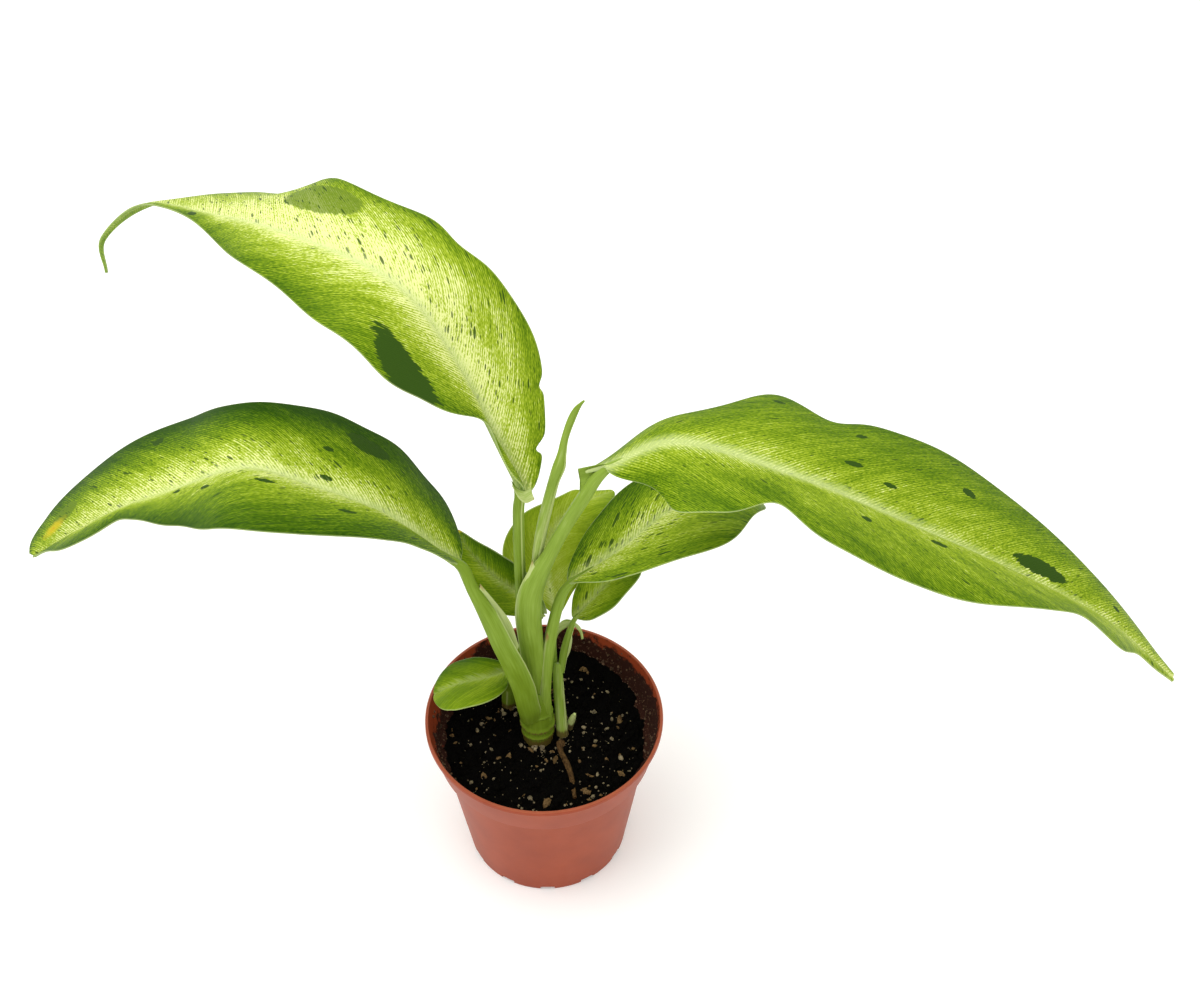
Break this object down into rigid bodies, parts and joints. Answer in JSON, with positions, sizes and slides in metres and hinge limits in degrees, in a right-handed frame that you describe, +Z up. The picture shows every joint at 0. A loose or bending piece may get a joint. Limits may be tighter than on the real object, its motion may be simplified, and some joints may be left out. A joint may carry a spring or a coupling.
{
  "type": "potted dieffenbachia",
  "caption": "Young dieffenbachia with long arching variegated leaves, a rolled new leaf and side shoots, in soil in a round plastic grower pot.",
  "frame": {"origin": "centre of the pot's foot, on the surface that the pot stands on", "axes": "+Z up, the pot's own axis; X along the two long side leaves, +X towards the longer one; -Y is the side that the plant shows best"},
  "size_m": [0.4762, 0.1969, 0.3067],
  "materials": {
    "pot_plastic": "satin",
    "soil": "matte",
    "stem": "satin",
    "pale_bud": "satin",
    "root": "matte",
    "young_leaf": "satin",
    "leaf": "satin"
  },
  "bodies": {
    "root": {"pot": "pot_plastic", "soil": "soil", "stem_main": "stem", "shoot_right": "stem", "shoot_left": "stem", "bud_stump": "pale_bud", "surface_root": "root", "leaf_spear": "young_leaf", "leaf_young_curled": "young_leaf", "leaf_upper_left": "leaf", "leaf_left": "leaf", "leaf_right": "leaf", "leaf_right_low": "leaf", "leaf_right_small": "leaf", "leaf_back_pale": "leaf", "leaf_back_dark": "leaf", "leaf_on_rim": "leaf"}
  },
  "joints": []
}
